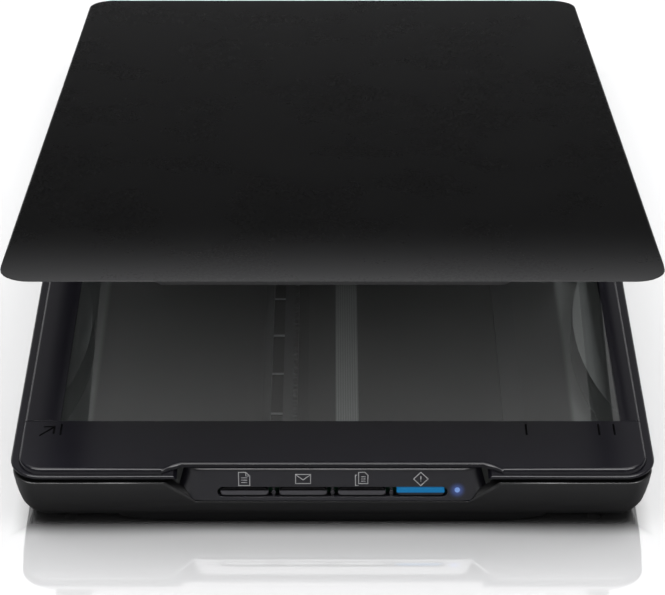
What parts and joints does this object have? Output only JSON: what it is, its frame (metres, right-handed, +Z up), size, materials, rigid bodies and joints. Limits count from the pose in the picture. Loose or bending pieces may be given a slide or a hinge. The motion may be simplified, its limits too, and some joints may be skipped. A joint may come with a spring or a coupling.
{
  "type": "flatbed scanner",
  "caption": "Slim flatbed document scanner with a glass bed, a hinged lid standing ajar, push buttons on a leaning front panel and a rack-driven sensor carriage.",
  "frame": {"origin": "middle of the footprint, on the surface that the feet stand on", "axes": "+X to the user's right, +Y from the front panel to the hinges, +Z up"},
  "size_m": [0.2498, 0.3635, 0.115],
  "materials": {
    "lower_case": "satin",
    "upper_case": "gloss",
    "bed_glass": "polished",
    "white_plastic": "matte",
    "panel_plastic": "satin",
    "button_grey": "satin",
    "button_blue": "translucent",
    "light_pipe": "translucent",
    "circuit_board": "satin",
    "chip": "matte",
    "connector": "satin",
    "flat_cable": "satin",
    "inner_plastic": "matte",
    "steel": "brushed",
    "rubber": "matte",
    "plate": "matte",
    "gear_plastic": "satin",
    "brass": "satin",
    "clear_glass": "polished",
    "clear_plastic": "polished",
    "lid_plastic": "satin",
    "lid_inner": "matte",
    "foam": "matte",
    "mat_white": "matte",
    "stand_plastic": "satin"
  },
  "bodies": {
    "base": {"lower_case": "lower_case", "upper_case": "upper_case", "front_bezel": "upper_case", "scanner_glass": "bed_glass", "calibration_strip": "white_plastic", "control_panel": "panel_plastic", "button_board": "circuit_board", "tact_switches": "connector", "status_light": "light_pipe", "main_board": "circuit_board", "board_chips": "chip", "flex_connectors": "connector", "usb_port": "steel", "panel_flex_cable": "flat_cable", "sensor_flex_cable": "flat_cable", "gear_rack": "inner_plastic", "guide_rail": "inner_plastic", "support_rail": "inner_plastic", "case_screws": "steel", "board_screws": "steel", "rubber_feet": "rubber", "rating_plate": "plate"},
    "button_1": {"button_1": "button_grey"},
    "button_2": {"button_2": "button_grey"},
    "button_3": {"button_3": "button_grey"},
    "button_4": {"button_4": "button_blue"},
    "carriage": {"carriage_tray": "inner_plastic", "guide_shoe": "white_plastic", "gear_bracket": "steel", "gear_axle": "steel", "drive_motor": "steel", "motor_screws": "steel", "sensor_springs": "steel"},
    "drive_gear": {"drive_gear": "gear_plastic"},
    "motor_pinion": {"motor_pinion": "brass"},
    "sensor_bar": {"sensor_housing": "inner_plastic", "sensor_cover_glass": "clear_glass", "light_guide": "clear_plastic", "rod_lens_array": "chip", "sensor_board": "circuit_board", "glide_pads": "white_plastic"},
    "hinge_posts": {"hinge_posts": "lid_inner", "hinge_pins": "steel"},
    "lid": {"lid_cover": "lid_plastic", "lid_inner_panel": "lid_inner", "hinge_brackets": "lid_inner", "mat_foam": "foam", "mat_sheet": "mat_white", "lid_bumpers": "rubber", "lid_screws": "steel"},
    "kickstand": {"kickstand": "stand_plastic", "kickstand_pins": "steel"}
  },
  "joints": [
    {"name": "lid_rise", "type": "slide", "parent": "base", "child": "hinge_posts", "axis": [0, 0, 1], "range_m": [0, 0.012]},
    {"name": "lid_hinge", "type": "hinge", "parent": "hinge_posts", "child": "lid", "pos_m": [0, 0.1754, 0.034], "axis": [-1, 0, 0], "range_deg": [-12.5, 77.5]},
    {"name": "button_1_press", "type": "slide", "parent": "base", "child": "button_1", "axis": [0, 0.9511, -0.309], "range_m": [0, 0.0008], "stiffness_N_per_m": 250, "springref_m": -0.001},
    {"name": "button_2_press", "type": "slide", "parent": "base", "child": "button_2", "axis": [0, 0.9511, -0.309], "range_m": [0, 0.0008], "stiffness_N_per_m": 250, "springref_m": -0.001},
    {"name": "button_3_press", "type": "slide", "parent": "base", "child": "button_3", "axis": [0, 0.9511, -0.309], "range_m": [0, 0.0008], "stiffness_N_per_m": 250, "springref_m": -0.001},
    {"name": "button_4_press", "type": "slide", "parent": "base", "child": "button_4", "axis": [0, 0.9511, -0.309], "range_m": [0, 0.0008], "stiffness_N_per_m": 250, "springref_m": -0.001},
    {"name": "carriage_slide", "type": "slide", "parent": "base", "child": "carriage", "axis": [0, -1, 0], "range_m": [0, 0.3055], "deforming": ["sensor_flex_cable"]},
    {"name": "gear_spin", "type": "hinge", "parent": "carriage", "child": "drive_gear", "pos_m": [-0.0094, 0.156, 0.0096], "axis": [0, 0, 1], "range_deg": [-2920, 5]},
    {"name": "pinion_spin", "type": "hinge", "parent": "carriage", "child": "motor_pinion", "pos_m": [0.0056, 0.156, 0.012], "axis": [0, 0, 1], "range_deg": [-5, 11675]},
    {"name": "sensor_float", "type": "slide", "parent": "carriage", "child": "sensor_bar", "axis": [0, 0, 1], "range_m": [-0.0008, 0], "stiffness_N_per_m": 400, "springref_m": 0.004, "deforming": ["sensor_springs"]},
    {"name": "stand_fold", "type": "hinge", "parent": "base", "child": "kickstand", "pos_m": [0, 0.164, 0.0022], "axis": [1, 0, 0], "range_deg": [0, 105]}
  ],
  "couplings": [
    {"joint": "gear_spin", "follows": "carriage_slide", "rad_per_m": -166.67},
    {"joint": "pinion_spin", "follows": "carriage_slide", "rad_per_m": 666.67}
  ]
}
